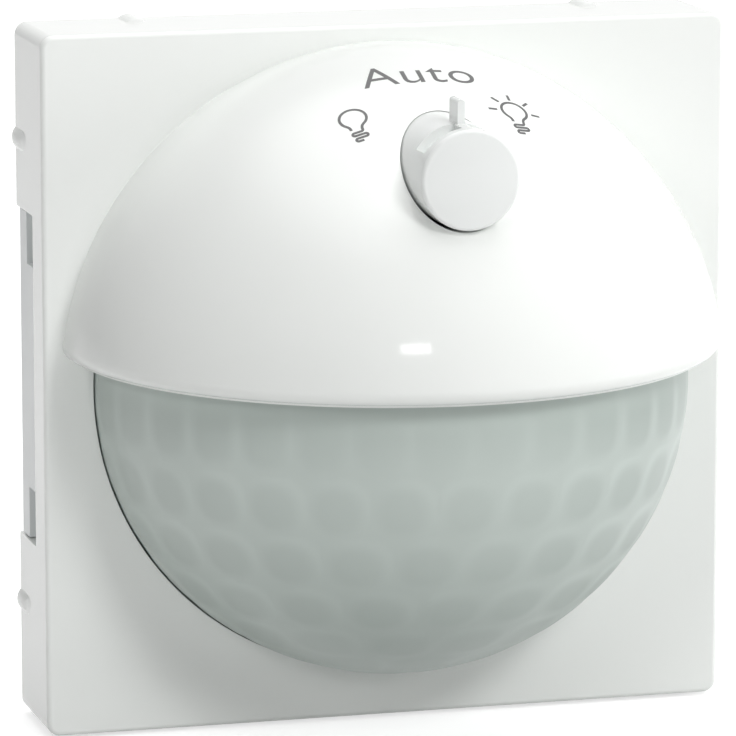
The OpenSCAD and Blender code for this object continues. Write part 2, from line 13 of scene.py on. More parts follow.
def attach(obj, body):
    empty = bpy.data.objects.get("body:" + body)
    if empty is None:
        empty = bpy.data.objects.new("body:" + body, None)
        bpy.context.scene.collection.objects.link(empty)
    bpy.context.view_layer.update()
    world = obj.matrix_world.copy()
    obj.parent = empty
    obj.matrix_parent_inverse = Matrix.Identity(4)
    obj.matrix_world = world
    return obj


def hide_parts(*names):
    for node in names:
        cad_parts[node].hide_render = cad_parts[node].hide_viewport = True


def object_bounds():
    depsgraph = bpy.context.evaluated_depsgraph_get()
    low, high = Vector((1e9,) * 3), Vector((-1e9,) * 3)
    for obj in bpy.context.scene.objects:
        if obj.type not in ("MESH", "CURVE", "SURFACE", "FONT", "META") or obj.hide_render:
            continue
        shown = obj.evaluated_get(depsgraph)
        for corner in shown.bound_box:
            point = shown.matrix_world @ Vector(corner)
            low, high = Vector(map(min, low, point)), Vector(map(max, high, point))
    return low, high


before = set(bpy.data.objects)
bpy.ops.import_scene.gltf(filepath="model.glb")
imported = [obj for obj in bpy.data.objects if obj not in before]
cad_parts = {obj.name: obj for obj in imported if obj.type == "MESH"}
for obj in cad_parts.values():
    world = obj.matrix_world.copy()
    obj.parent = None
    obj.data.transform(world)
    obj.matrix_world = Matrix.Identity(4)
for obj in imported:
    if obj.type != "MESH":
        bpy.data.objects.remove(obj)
cad_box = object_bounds()

MM = 0.001
SMALL = 0.0001
MERGE = 0.0005
SMOOTH_ANGLE = 35

# Cover
PLATE_SIDE = 70.0
HALF = PLATE_SIDE / 2
PLATE_DEPTH = 12.3
FRONT_Y = -PLATE_DEPTH
FRONT_WALL = 2.0
SKIRT_WALL = 1.7
CORNER_R = 1.3
EDGE_R = 0.5
RIM_R = 0.15
CAVITY_CORNER_R = 0.5
INNER_EDGE_R = 0.1
NOTCH_HALF = 16.6
NOTCH_LAND = 4.8
NUB_OFFSET = 23.5
NUB_WIDTH = 2.1
NUB_HEIGHT = 0.4
NUB_LENGTH = 4.6
NUB_RAMP = 1.4
NUB_REAR = 0.2
NUB_TOE = 0.1
NUB_RUN = 1.25
RIB_LENGTH = 16.0
RIB_HEIGHT = 0.7
RIB_REAR = 0.55
RIB_FRONT = 1.35
RIB_ROOT = 0.5
BOSS_PLACE = 27.5
BOSS_R = 2.6
BOSS_REAR = 9.3
BOSS_HOLE_R = 1.05
BOSS_ROOT = 1.0
BOSS_HOLE_ROOT = 1.2

# Hood and lens, balls about the middle of the front face
HOOD_R = 33.4
HOOD_WALL = 2.0
LIP_Z = 2.7
LIP_ROUND = 1.3
LIP_LAND = 0.22
LIP_LAND_INSET = 0.02
LIP_BAND = 2.5
LIP_BAND_GAP = 0.03
LENS_R = 29.9
LENS_GAP = 0.13
LENS_TUCK = 1.6
LENS_WALL = 1.2
FLANGE_W = 2.2
FLANGE_T = 1.0
HOLE_PLAY = 0.02
HOLE_R = LENS_R + LENS_GAP + HOLE_PLAY
HOLE_EDGE_R = 0.08

# Knob
KNOB_Z = 23.7
KNOB_R = 5.0
KNOB_DRAFT = 0.8
KNOB_GAP = 0.1
SLEEVE_R = KNOB_R + KNOB_GAP
KNOB_REACH = 5.6
KNOB_EDGE_R = 0.4
KNOB_CROWN = 0.28
KNOB_HOLE_EDGE_R = 0.12
KNOB_LIFT = 0.05
SLEEVE_DEPTH = 12.1
SLEEVE_WALL = 1.5
WEB_T = 2.0
STEM_R = 2.5
RUN_GAP = 0.05
DRIVE_SIDE = 2.8
END_GAP = 0.3
HOLLOW_DEPTH = 0.85
HOLLOW_ANGLE = 53
HOLLOW_FRONT = 1.6
HOLLOW_REAR = 4.5
FIN_HALF_ANGLE = 6
FIN_REACH = 7.2
FIN_T = 0.72
FIN_LENGTH = 2.8
FIN_SETBACK = 3.7
FIN_TIP_R = 0.3
FIN_CREST_R = 0.25
FIN_EDGE_R = 0.08
HOOD_F = PLATE_DEPTH + math.sqrt(HOOD_R ** 2 - KNOB_Z ** 2)
HOOD_HIGH_F = PLATE_DEPTH + math.sqrt(HOOD_R ** 2 - (KNOB_Z + SLEEVE_R) ** 2)
KNOB_FACE_F = HOOD_F + KNOB_REACH
WEB_FRONT_F = HOOD_F - SLEEVE_DEPTH
WEB_REAR_F = WEB_FRONT_F - WEB_T
DRIVE_END_F = 9.7
DRIVE_START_F = 13.3

ORIGIN = Vector((0, 0, 0))


# Helpers for meshes

def verts_of(geom):
    return [g for g in geom if isinstance(g, bmesh.types.BMVert)]


def edges_of(geom):
    return [g for g in geom if isinstance(g, bmesh.types.BMEdge)]


def arc(bm, vert, centre, angle, steps):
    """Draws an arc from a vertex in the XZ plane, clockwise as seen from the front. Returns its end."""
    made = bmesh.ops.spin(bm, geom=[vert], cent=centre, axis=(0, 1, 0), angle=angle, steps=steps)
    return verts_of(made["geom_last"])[0]


def line(bm, vert, x, z):
    """Draws a straight edge from a vertex to a place in the XZ plane. Returns its end."""
    end = bm.verts.new((x, 0, z))
    bm.edges.new((vert, end))
    return end


def path(bm, points):
    """Draws a line through places in the XZ plane."""
    vert = bm.verts.new((points[0][0], 0, points[0][1]))
    for x, z in points[1:]:
        vert = line(bm, vert, x, z)


def spin_all(bm, angle, steps):
    """Spins everything in the mesh about the Z axis and merges the seam."""
    bmesh.ops.spin(bm, geom=bm.verts[:] + bm.edges[:], cent=ORIGIN, axis=(0, 0, 1),
                   angle=angle, steps=steps)
    bmesh.ops.remove_doubles(bm, verts=bm.verts, dist=SMALL)


def box(size, centre):
    bm = bmesh.new()
    bmesh.ops.create_cube(bm, size=1)
    bmesh.ops.scale(bm, vec=size, verts=bm.verts)
    bmesh.ops.translate(bm, vec=centre, verts=bm.verts)
    return bm


def rod(x, z, radius, rear_f, front_f, segments=128):
    """A rod along the depth between two distances in front of the rear rim."""
    bm = bmesh.new()
    bmesh.ops.create_cone(bm, cap_ends=True, segments=segments, radius1=radius, radius2=radius,
                          depth=front_f - rear_f)
    bmesh.ops.rotate(bm, cent=ORIGIN, matrix=Matrix.Rotation(math.pi / 2, 3, "X"), verts=bm.verts)
    bmesh.ops.translate(bm, vec=(x, -(front_f + rear_f) / 2, z), verts=bm.verts)
    return bm


def round_edges(bm, edges, radius, segments):
    bmesh.ops.bevel(bm, geom=edges, offset=radius, segments=segments, profile=0.5,
                    affect="EDGES", material=-1, clamp_overlap=True)


def sharp_edges(bm, angle):
    return [e for e in bm.edges if e.is_manifold and e.calc_face_angle() > math.radians(angle)]


def solid(name, bm):
    """A loose object from a mesh in millimetres, for joining and cutting."""
    bmesh.ops.recalc_face_normals(bm, faces=bm.faces)
    mesh = bpy.data.meshes.new(name)
    bm.to_mesh(mesh)
    bm.free()
    made = bpy.data.objects.new(name, mesh)
    bpy.context.scene.collection.objects.link(made)
    return made


def combine(base, bm, operation):
    """Joins a mesh to a loose object, or cuts it out."""
    tool = solid("tool", bm)
    step = base.modifiers.new("step", "BOOLEAN")
    step.operation = operation
    step.solver = "EXACT"
    step.object = tool
    depsgraph = bpy.context.evaluated_depsgraph_get()
    result = bpy.data.meshes.new_from_object(base.evaluated_get(depsgraph))
    base.modifiers.clear()
    base.data = result
    bpy.data.objects.remove(tool)


def edit(base, change):
    """Runs a change on the mesh of a loose object."""
    bm = bmesh.new()
    bm.from_mesh(base.data)
    change(bm)
    bm.to_mesh(base.data)
    bm.free()


def finish(made, name, finish_material, body):
    """Makes a loose object a finished piece: metres, shading, material and the body it rides on."""
    made.name = name
    made.data.name = name
    edit(made, lambda bm: bmesh.ops.remove_doubles(bm, verts=bm.verts, dist=MERGE))
    made.data.transform(Matrix.Scale(MM, 4))
    for polygon in made.data.polygons:
        polygon.use_smooth = True
    made.data.set_sharp_from_angle(angle=math.radians(SMOOTH_ANGLE))
    made.data.materials.clear()
    made.data.materials.append(finish_material)
    weighted = made.modifiers.new("weighted_normals", "WEIGHTED_NORMAL")
    weighted.keep_sharp = True
    weighted.weight = 100
    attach(made, body)


# Materials

def new_material(name):
    made = bpy.data.materials.new(name)
    made.use_nodes = True
    tree = made.node_tree
    return made, tree.nodes, tree.links, tree.nodes["Principled BSDF"]


def noise(nodes, links, scale, detail=3.0, roughness=0.5):
    """A noise on the piece's own coordinates, which are in metres."""
    place = nodes.new("ShaderNodeTexCoord")
    made = nodes.new("ShaderNodeTexNoise")
    made.inputs["Scale"].default_value = scale
    made.inputs["Detail"].default_value = detail
    made.inputs["Roughness"].default_value = roughness
    links.new(place.outputs["Object"], made.inputs["Vector"])
    return made


def spread(nodes, links, source, low, high):
    """Maps the middle of a noise to a range of numbers."""
    made = nodes.new("ShaderNodeMapRange")
    made.inputs["From Min"].default_value = 0.3
    made.inputs["From Max"].default_value = 0.7
    made.inputs["To Min"].default_value = low
    made.inputs["To Max"].default_value = high
    links.new(source, made.inputs["Value"])
    return made.outputs["Result"]


def tint(nodes, links, source, dark, light):
    """Maps a number from 0 to 1 to a colour between two colours."""
    made = nodes.new("ShaderNodeMix")
    made.data_type = "RGBA"
    made.inputs["A"].default_value = (*dark, 1)
    made.inputs["B"].default_value = (*light, 1)
    links.new(source, made.inputs["Factor"])
    return made.outputs["Result"]


def skin(nodes, links, shader, scale, height):
    """A fine uneven skin of the given height in metres."""
    grain = noise(nodes, links, scale, 4.0, 0.6)
    bump = nodes.new("ShaderNodeBump")
    bump.inputs["Distance"].default_value = height
    bump.inputs["Strength"].default_value = 0.5
    links.new(grain.outputs["Fac"], bump.inputs["Height"])
    links.new(bump.outputs["Normal"], shader.inputs["Normal"])


def moulded(name, colour, roughness, clouding=0.03, grain=900, height=0.000004):
    """A moulded plastic with faint clouding, uneven gloss and a fine skin."""
    made, nodes, links, shader = new_material(name)
    cloud = noise(nodes, links, 60, 4.0)
    dark = [c * (1 - clouding) for c in colour]
    links.new(tint(nodes, links, cloud.outputs["Fac"], dark, colour), shader.inputs["Base Color"])
    gloss = noise(nodes, links, 180, 3.0)
    links.new(spread(nodes, links, gloss.outputs["Fac"], roughness * 0.88, roughness * 1.12),
              shader.inputs["Roughness"])
    skin(nodes, links, shader, grain, height)
    return made


def metal(name, colour, roughness, stretch=(1, 1, 1)):
    """A plated metal with fine streaks along the stretched axis."""
    made, nodes, links, shader = new_material(name)
    shader.inputs["Metallic"].default_value = 1.0
    place = nodes.new("ShaderNodeTexCoord")
    turn = nodes.new("ShaderNodeMapping")
    turn.inputs["Scale"].default_value = stretch
    streaks = nodes.new("ShaderNodeTexNoise")
    streaks.inputs["Scale"].default_value = 1500
    streaks.inputs["Detail"].default_value = 3
    links.new(place.outputs["Object"], turn.inputs["Vector"])
    links.new(turn.outputs["Vector"], streaks.inputs["Vector"])
    dark = [c * 0.86 for c in colour]
    links.new(tint(nodes, links, streaks.outputs["Fac"], dark, colour), shader.inputs["Base Color"])
    links.new(spread(nodes, links, streaks.outputs["Fac"], roughness * 0.8, roughness * 1.25),
              shader.inputs["Roughness"])
    return made


def frosted_lens(name):
    """Milky plastic, darker inside the lens cells than on the net between them, with painted shade and
    painted highlights in the same colour.
    """
    made, nodes, links, shader = new_material(name)
    cell = nodes.new("ShaderNodeAttribute")
    cell.attribute_name = "cell"
    # The light colour also gives the painted highlights and the dark colour the painted shade.
    net_and_painted_light_colour = (0.570, 0.632, 0.598)
    cell_and_painted_shade_colour = (0.346, 0.396, 0.370)
    cloud = noise(nodes, links, 120, 4.0)
    uneven = nodes.new("ShaderNodeMath")
    uneven.operation = "MULTIPLY_ADD"
    uneven.inputs[1].default_value = 0.04
    links.new(cloud.outputs["Fac"], uneven.inputs[0])
    links.new(cell.outputs["Fac"], uneven.inputs[2])
    colour = tint(nodes, links, uneven.outputs["Value"], net_and_painted_light_colour, cell_and_painted_shade_colour)
    links.new(colour, shader.inputs["Base Color"])
    links.new(spread(nodes, links, cloud.outputs["Fac"], 0.36, 0.46), shader.inputs["Roughness"])
    skin(nodes, links, shader, 1400, 0.000006)
    return made


WHITE = (0.868, 0.888, 0.866)
cover_white = moulded("cover_white", WHITE, 0.07, clouding=0.012)
knob_white = moulded("knob_white", (0.838, 0.858, 0.846), 0.10, clouding=0.012)
print_grey = moulded("print_grey", (0.10, 0.10, 0.10), 0.45, clouding=0.15, grain=2500)
lens_frosted = frosted_lens("lens_frosted")
tray_plastic = moulded("tray_plastic", (0.76, 0.785, 0.785), 0.34, clouding=0.03)
frame_grey = moulded("frame_grey", (0.55, 0.55, 0.55), 0.45)
black_plastic = moulded("black_plastic", (0.022, 0.022, 0.024), 0.42, clouding=0.25)
ivory_plastic = moulded("ivory_plastic", (0.74, 0.70, 0.60), 0.40)
trimmer_blue = moulded("trimmer_blue", (0.05, 0.13, 0.38), 0.40, clouding=0.12)
board_green = moulded("board_green", (0.03, 0.16, 0.08), 0.30, clouding=0.2)
led_red = moulded("led_red", (0.45, 0.02, 0.02), 0.15, clouding=0.1)
filter_dark = moulded("filter_dark", (0.05, 0.035, 0.07), 0.10, clouding=0.2)
contact_metal = metal("contact_metal", (0.80, 0.62, 0.30), 0.28, (1, 0.05, 1))
steel = metal("steel", (0.62, 0.62, 0.63), 0.32)
can_metal = metal("can_metal", (0.70, 0.69, 0.66), 0.28, (1, 0.1, 1))
capacitor_metal = metal("capacitor_metal", (0.72, 0.74, 0.76), 0.35, (1, 0.1, 1))


# Cover: plate with skirt, nubs, hood and knob sleeve in one moulding

def plate_with_skirt():
    """The square plate with its skirt, notches and lens hole, with rounded edges."""
    bm = box((PLATE_SIDE, PLATE_DEPTH, PLATE_SIDE), (0, FRONT_Y / 2, 0))
    depth_edges = [e for e in bm.edges if abs(e.verts[0].co.y - e.verts[1].co.y) > 1]
    round_edges(bm, depth_edges, CORNER_R, 10)
    front_edges = [e for e in bm.edges if all(v.co.y < FRONT_Y + SMALL for v in e.verts)]
    round_edges(bm, front_edges, EDGE_R, 6)
    rear_edges = [e for e in bm.edges if all(v.co.y > -SMALL for v in e.verts)]
    round_edges(bm, rear_edges, RIM_R, 2)
    plate = solid("plate", bm)

    inside = PLATE_SIDE - 2 * SKIRT_WALL
    cavity_depth = PLATE_DEPTH - FRONT_WALL
    cavity = box((inside, 2 * cavity_depth, inside), ORIGIN)
    corners = [e for e in cavity.edges if abs(e.verts[0].co.y - e.verts[1].co.y) > 1]
    round_edges(cavity, corners, CAVITY_CORNER_R, 4)
    combine(plate, cavity, "DIFFERENCE")
    notch_depth = PLATE_DEPTH - NOTCH_LAND
    notch = box((2 * PLATE_SIDE, 2 * notch_depth, 2 * NOTCH_HALF), ORIGIN)
    combine(plate, notch, "DIFFERENCE")
    combine(plate, rod(0, 0, HOLE_R, 0, 2 * PLATE_DEPTH, 256), "DIFFERENCE")

    def soften(bm):
        bmesh.ops.remove_doubles(bm, verts=bm.verts, dist=2 * MERGE)
        hole = [e for e in sharp_edges(bm, 60)
                if all(math.hypot(v.co.x, v.co.z) < HOLE_R + 0.01 for v in e.verts)]
        round_edges(bm, hole, HOLE_EDGE_R, 2)
        rest = [e for e in sharp_edges(bm, 60)
                if all(math.hypot(v.co.x, v.co.z) > HOLE_R + 1 for v in e.verts)]
        round_edges(bm, rest, INNER_EDGE_R, 2)
    edit(plate, soften)
    return plate


def snap_nub():
    """A half-round rib along the depth with a ramp at its front, on the left side at the middle."""
    radius = (NUB_WIDTH ** 2 / 4 + NUB_HEIGHT ** 2) / (2 * NUB_HEIGHT)
    ramp_f = NUB_REAR + NUB_LENGTH - NUB_RAMP
    end_f = ramp_f + NUB_RAMP * NUB_RUN
    end_r = radius - NUB_HEIGHT - NUB_TOE
    bm = bmesh.new()
    path(bm, [(0, NUB_REAR), (radius, NUB_REAR), (radius, ramp_f), (end_r, end_f), (0, end_f)])
    spin_all(bm, 2 * math.pi, 96)
    bmesh.ops.rotate(bm, cent=ORIGIN, matrix=Matrix.Rotation(math.pi / 2, 3, "X"), verts=bm.verts)
    bmesh.ops.translate(bm, vec=(-HALF - NUB_HEIGHT + radius, 0, 0), verts=bm.verts)
    bmesh.ops.bisect_plane(bm, geom=bm.verts[:] + bm.edges[:] + bm.faces[:],
                           plane_co=(-HALF + SKIRT_WALL / 2, 0, 0), plane_no=(1, 0, 0), clear_outer=True)
    bmesh.ops.holes_fill(bm, edges=[e for e in bm.edges if e.is_boundary])
    return bm


def half_dome_hood():
    """Half of a hollow ball with a rounded lip, its foot sunk into the plate."""
    round_z = LIP_Z + LIP_LAND + LIP_ROUND
    round_x = math.sqrt((HOOD_R - LIP_ROUND) ** 2 - round_z ** 2)
    lip_angle = math.atan2(round_z, round_x)
    land_x = round_x - LIP_LAND_INSET
    band_r = HOLE_R + LIP_BAND_GAP
    band_top = LIP_Z + LIP_BAND
    hollow_r = HOOD_R - HOOD_WALL
    bm = bmesh.new()
    crown = bm.verts.new((0, 0, HOOD_R))
    end = arc(bm, crown, ORIGIN, math.pi / 2 - lip_angle, 72)
    end = arc(bm, end, (round_x, 0, round_z), math.pi / 2 + lip_angle, 14)
    end = line(bm, end, land_x, LIP_Z + LIP_LAND)
    end = line(bm, end, land_x, LIP_Z)
    end = line(bm, end, math.sqrt(band_r ** 2 - LIP_Z ** 2), LIP_Z)
    end = arc(bm, end, ORIGIN, math.asin(LIP_Z / band_r) - math.asin(band_top / band_r), 4)
    end = line(bm, end, math.sqrt(hollow_r ** 2 - band_top ** 2), band_top)
    arc(bm, end, ORIGIN, math.asin(band_top / hollow_r) - math.pi / 2, 48)
    spin_all(bm, -math.pi, 144)
    foot = bmesh.ops.contextual_create(bm, geom=[e for e in bm.edges if e.is_boundary])["faces"]
    sunk = bmesh.ops.extrude_face_region(bm, geom=foot)["geom"]
    bmesh.ops.translate(bm, vec=(0, FRONT_WALL / 2, 0), verts=verts_of(sunk))
    bmesh.ops.translate(bm, vec=(0, FRONT_Y, 0), verts=bm.verts)
    return bm


def make_cover():
    cover = plate_with_skirt()
    for side in range(4):
        for place in (-NUB_OFFSET, NUB_OFFSET):
            nub = snap_nub()
            bmesh.ops.translate(nub, vec=(0, 0, place), verts=nub.verts)
            turn = Matrix.Rotation(side * math.pi / 2, 3, "Y")
            bmesh.ops.rotate(nub, cent=ORIGIN, matrix=turn, verts=nub.verts)
            combine(cover, nub, "UNION")
    skirt_in = HALF - SKIRT_WALL
    for side in (-1, 1):
        rib = box((RIB_LENGTH, RIB_FRONT - RIB_REAR, RIB_HEIGHT + RIB_ROOT),
                  (0, -(RIB_FRONT + RIB_REAR) / 2, side * (skirt_in + (RIB_ROOT - RIB_HEIGHT) / 2)))
        combine(cover, rib, "UNION")
    inner_f = PLATE_DEPTH - FRONT_WALL
    for x in (-BOSS_PLACE, BOSS_PLACE):
        for z in (-BOSS_PLACE, BOSS_PLACE):
            combine(cover, rod(x, z, BOSS_R, BOSS_REAR, inner_f + BOSS_ROOT, 48), "UNION")
            hole = rod(x, z, BOSS_HOLE_R, BOSS_REAR - 1, inner_f + BOSS_HOLE_ROOT, 32)
            combine(cover, hole, "DIFFERENCE")
    combine(cover, half_dome_hood(), "UNION")
    sleeve = solid("sleeve", rod(0, KNOB_Z, SLEEVE_R + SLEEVE_WALL, WEB_REAR_F, PLATE_DEPTH + HOOD_R))
    ball = bmesh.new()
    bmesh.ops.create_uvsphere(ball, u_segments=96, v_segments=64, radius=HOOD_R - HOOD_WALL / 2)
    bmesh.ops.translate(ball, vec=(0, FRONT_Y, 0), verts=ball.verts)
    combine(sleeve, ball, "INTERSECT")
    sleeve_mesh = bmesh.new()
    sleeve_mesh.from_mesh(sleeve.data)
    bpy.data.objects.remove(sleeve)
    combine(cover, sleeve_mesh, "UNION")
    hole_z = KNOB_Z - KNOB_LIFT
    bore = rod(0, hole_z, SLEEVE_R, WEB_FRONT_F, PLATE_DEPTH + 2 * HOOD_R, 160)
    combine(cover, bore, "DIFFERENCE")
    stem_bore = rod(0, KNOB_Z, STEM_R + RUN_GAP, WEB_REAR_F - 1, WEB_FRONT_F + 1, 64)
    combine(cover, stem_bore, "DIFFERENCE")
    middle = Vector((0, FRONT_Y, 0))

    def round_hole(bm):
        bmesh.ops.remove_doubles(bm, verts=bm.verts, dist=MERGE)
        rim = [e for e in bm.edges if e.is_manifold and e.calc_face_angle() > 0.5
               and all(abs((v.co - middle).length - HOOD_R) < 0.03
                       and abs(math.hypot(v.co.x, v.co.z - hole_z) - SLEEVE_R) < 0.01 for v in e.verts)]
        round_edges(bm, rim, KNOB_HOLE_EDGE_R, 3)
    edit(cover, round_hole)
    finish(cover, "cover_moulding", cover_white, "housing")
    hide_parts("cover_shell")


# Lens with its honeycomb of soft cells, with painted shade and painted highlights in its colour

CELL_ROWS = (
    # latitude of the row's middle, step between cells, whether a cell lies straight ahead
    (-15.5, 12.6, True),
    (-27.8, 14.7, False),
    (-40.3, 17.8, True),
    (-52.3, 23.3, False),
    (-63.8, 31.0, True),
    (-75.6, 52.0, False),
)
TOP_ROW_STEP = 11.05
TOP_ROW_FOOT = -3.0
ROW_HALF = 6.15
TOP_ROW_POWER = 3
ROW_POWER = 2.4
# Azimuth where the painted highlights on the cells change side and the pattern is faintest.
BRIGHT_AHEAD = -6.0
ASIDE = (8, 55)


def smooth_step(value, low, high):
    t = min(1.0, max(0.0, (value - low) / (high - low)))
    return t * t * (3 - 2 * t)


def off_centre(azimuth, step, cell_ahead):
    """Offset from the middle of the nearest cell to the right, in half steps."""
    shift = 0 if cell_ahead else step / 2
    turns = (azimuth - shift) / step
    return (turns - round(turns)) * 2


def cell_share(across, up, power):
    """Share of the way from a cell's middle to its edge, which is the rounder the lower the power."""
    return (abs(across) ** power + abs(up) ** power) ** (1 / power)


def nearest_cell(azimuth, latitude):
    """Share of the way from a cell's middle to its edge, the offsets to the right and up, and the row."""
    across = off_centre(azimuth, TOP_ROW_STEP, False)
    up = min(0.0, (latitude - TOP_ROW_FOOT) / ROW_HALF)
    found = [(cell_share(across, up, TOP_ROW_POWER), across, up, 0)]
    for row, (middle, step, cell_ahead) in enumerate(CELL_ROWS, 1):
        across = off_centre(azimuth, step, cell_ahead)
        up = (latitude - middle) / ROW_HALF
        found.append((cell_share(across, up, ROW_POWER), across, up, row))
    return min(found)


def cell_pattern_and_painted_light(azimuth, latitude):
    """How light the lens is: lowest in a cell, more on the net, with a painted highlight on a cell's upper
    inner edge, painted shade towards the bottom, on the right and under the lip, and painted light on the
    left.
    """
    share, across, up, row = nearest_cell(azimuth, latitude)
    inner = 1 if azimuth < BRIGHT_AHEAD else -1
    # lean points to a cell's upper inner edge, where the painted highlight falls.
    lean = 0.75 * up + 0.65 * inner * across
    net = smooth_step(share, 0.48 - 0.12 * lean, 0.98)
    # A painted highlight along a cell's upper inner edge.
    painted_highlight = math.exp(-((share - 0.88) / 0.20) ** 2) * max(0.0, lean)
    left_aside = smooth_step(BRIGHT_AHEAD - azimuth, *ASIDE)
    right_aside = smooth_step(azimuth - BRIGHT_AHEAD, *ASIDE)
    strength = 0.52 + 0.38 * left_aside + 0.8 * right_aside
    if row == 0:
        strength = 0.25 + 0.65 * left_aside + right_aside
        strength *= 1 - 0.7 * smooth_step(latitude, -2, 3)
    strength *= 0.8 - 0.4 * smooth_step(-latitude, 42, 66)
    # Painted shade, darker towards the bottom, on the right and under the lip, and painted light on the
    # left.
    shade = smooth_step(-latitude, 8, 62) + 0.55 * smooth_step(azimuth, -10, 60)
    shade += 0.6 * smooth_step(latitude, -8, 3) - 0.35 * smooth_step(-azimuth, 20, 60)
    return 0.6 - shade + strength * (0.42 * painted_highlight - 0.5 * (1 - net) * (1 - 0.3 * lean))


def make_lens():
    cell_relief = 0.05
    top_angle = math.asin((LIP_Z + LENS_TUCK) / LENS_R)
    bm = bmesh.new()
    start = bm.verts.new((LENS_R * math.cos(top_angle), 0, LENS_R * math.sin(top_angle)))
    arc(bm, start, ORIGIN, top_angle + math.pi / 2, 130)
    spin_all(bm, -math.pi, 240)
    cell = bm.verts.layers.float.new("cell")
    for vert in bm.verts:
        azimuth = math.degrees(math.atan2(vert.co.x, -vert.co.y))
        latitude = math.degrees(math.asin(max(-1.0, min(1.0, vert.co.z / LENS_R))))
        # The cell attribute carries the cell pattern together with painted shade and painted highlights.
        vert[cell] = 0.5 - 0.5 * cell_pattern_and_painted_light(azimuth, latitude)
        crease = smooth_step(nearest_cell(azimuth, latitude)[0], 0.6, 1.05)
        vert.co *= 1 - cell_relief * crease / LENS_R
    rear = [e for e in bm.edges if e.is_boundary and all(v.co.y > -SMALL for v in e.verts)]
    for push, grow in ((FRONT_WALL, 1.0), (0, 1 + FLANGE_W / LENS_R), (FLANGE_T, 1.0)):
        made = bmesh.ops.extrude_edge_only(bm, edges=rear)["geom"]
        verts = verts_of(made)
        rear = [e for e in edges_of(made) if e.is_boundary and all(v in verts for v in e.verts)]
        bmesh.ops.translate(bm, vec=(0, push, 0), verts=verts)
        bmesh.ops.scale(bm, vec=(grow, 1, grow), verts=verts)
    bmesh.ops.recalc_face_normals(bm, faces=bm.faces)
    outward = sum(1 if f.normal.dot(f.calc_center_median()) > 0 else -1 for f in bm.faces)
    if outward < 0:
        bmesh.ops.reverse_faces(bm, faces=bm.faces)
    bmesh.ops.translate(bm, vec=(0, FRONT_Y, 0), verts=bm.verts)
    lens = solid("lens", bm)
    wall = lens.modifiers.new("wall", "SOLIDIFY")
    wall.thickness = LENS_WALL * MM
    wall.offset = -1
    finish(lens, "lens_dome", lens_frosted, "housing")
    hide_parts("lens")


# Knob with its finger hollows and pointer fin

def knob_place(bm):
    """Turns a mesh made along +Z to point out of the wall, on the knob's axis."""
    bmesh.ops.rotate(bm, cent=ORIGIN, matrix=Matrix.Rotation(math.pi / 2, 3, "X"), verts=bm.verts)
    bmesh.ops.translate(bm, vec=(0, 0, KNOB_Z), verts=bm.verts)


def knob_side_r(f):
    """Radius of the knob's drafted side at a distance in front of the rear rim."""
    return KNOB_R - (f - HOOD_HIGH_F) * math.tan(math.radians(KNOB_DRAFT))


def knob_turning():
    """The knob's head and stem, turned about its axis."""
    head_rear_f = WEB_FRONT_F + END_GAP
    edge_f = KNOB_FACE_F - KNOB_CROWN - KNOB_EDGE_R
    face_r = knob_side_r(edge_f) - KNOB_EDGE_R
    crown_r = (face_r ** 2 + KNOB_CROWN ** 2) / (2 * KNOB_CROWN)
    bm = bmesh.new()
    middle = bm.verts.new((0, 0, KNOB_FACE_F))
    end = arc(bm, middle, (0, 0, KNOB_FACE_F - crown_r), math.asin(face_r / crown_r), 16)
    end = arc(bm, end, (face_r, 0, edge_f), math.pi / 2, 8)
    end = line(bm, end, KNOB_R, HOOD_HIGH_F)
    end = line(bm, end, KNOB_R, head_rear_f)
    end = line(bm, end, STEM_R, head_rear_f)
    end = line(bm, end, STEM_R, DRIVE_START_F)
    line(bm, end, 0, DRIVE_START_F)
    spin_all(bm, 2 * math.pi, 128)
    knob_place(bm)
    return bm


HOLLOW_R = knob_side_r(KNOB_FACE_F - HOLLOW_REAR) - HOLLOW_DEPTH


def finger_hollow(side):
    """A curved hollow beside the fin; side is 1 for the left one and -1 for the right."""
    start = math.radians(90 + FIN_HALF_ANGLE)
    end = start + math.radians(HOLLOW_ANGLE)
    rear, front = KNOB_FACE_F - HOLLOW_REAR, KNOB_FACE_F - HOLLOW_FRONT
    bm = bmesh.new()
    first = bm.verts.new((HOLLOW_R * math.cos(start), HOLLOW_R * math.sin(start), rear))
    bmesh.ops.spin(bm, geom=[first], cent=ORIGIN, axis=(0, 0, 1), angle=end - start, steps=24)
    last = min(bm.verts, key=lambda v: v.co.y)
    for angle in (end, start):
        corner = bm.verts.new((2 * KNOB_R * math.cos(angle), 2 * KNOB_R * math.sin(angle), rear))
        bm.edges.new((last, corner))
        last = corner
    bm.edges.new((last, first))
    outline = bmesh.ops.contextual_create(bm, geom=bm.edges[:])["faces"]
    moved = bmesh.ops.extrude_face_region(bm, geom=outline)["geom"]
    bmesh.ops.translate(bm, vec=(0, 0, front - rear), verts=verts_of(moved))
    bmesh.ops.scale(bm, vec=(side, 1, 1), verts=bm.verts)
    knob_place(bm)
    return bm


def pointer_fin():
    root = HOLLOW_R - FIN_T
    front = KNOB_FACE_F - FIN_SETBACK
    bm = box((FIN_T, FIN_REACH - root, FIN_LENGTH), (0, (FIN_REACH + root) / 2, front - FIN_LENGTH / 2))
    tip = [e for e in bm.edges if all(v.co.y > FIN_REACH - SMALL for v in e.verts)
           and abs(e.verts[0].co.z - e.verts[1].co.z) > 1]
    round_edges(bm, tip, FIN_TIP_R, 6)
    crest = [e for e in bm.edges
             if all(v.co.y > FIN_REACH - SMALL and v.co.z > front - SMALL for v in e.verts)]
    round_edges(bm, crest, FIN_CREST_R, 4)
    round_edges(bm, sharp_edges(bm, 60), FIN_EDGE_R, 2)
    knob_place(bm)
    return bm


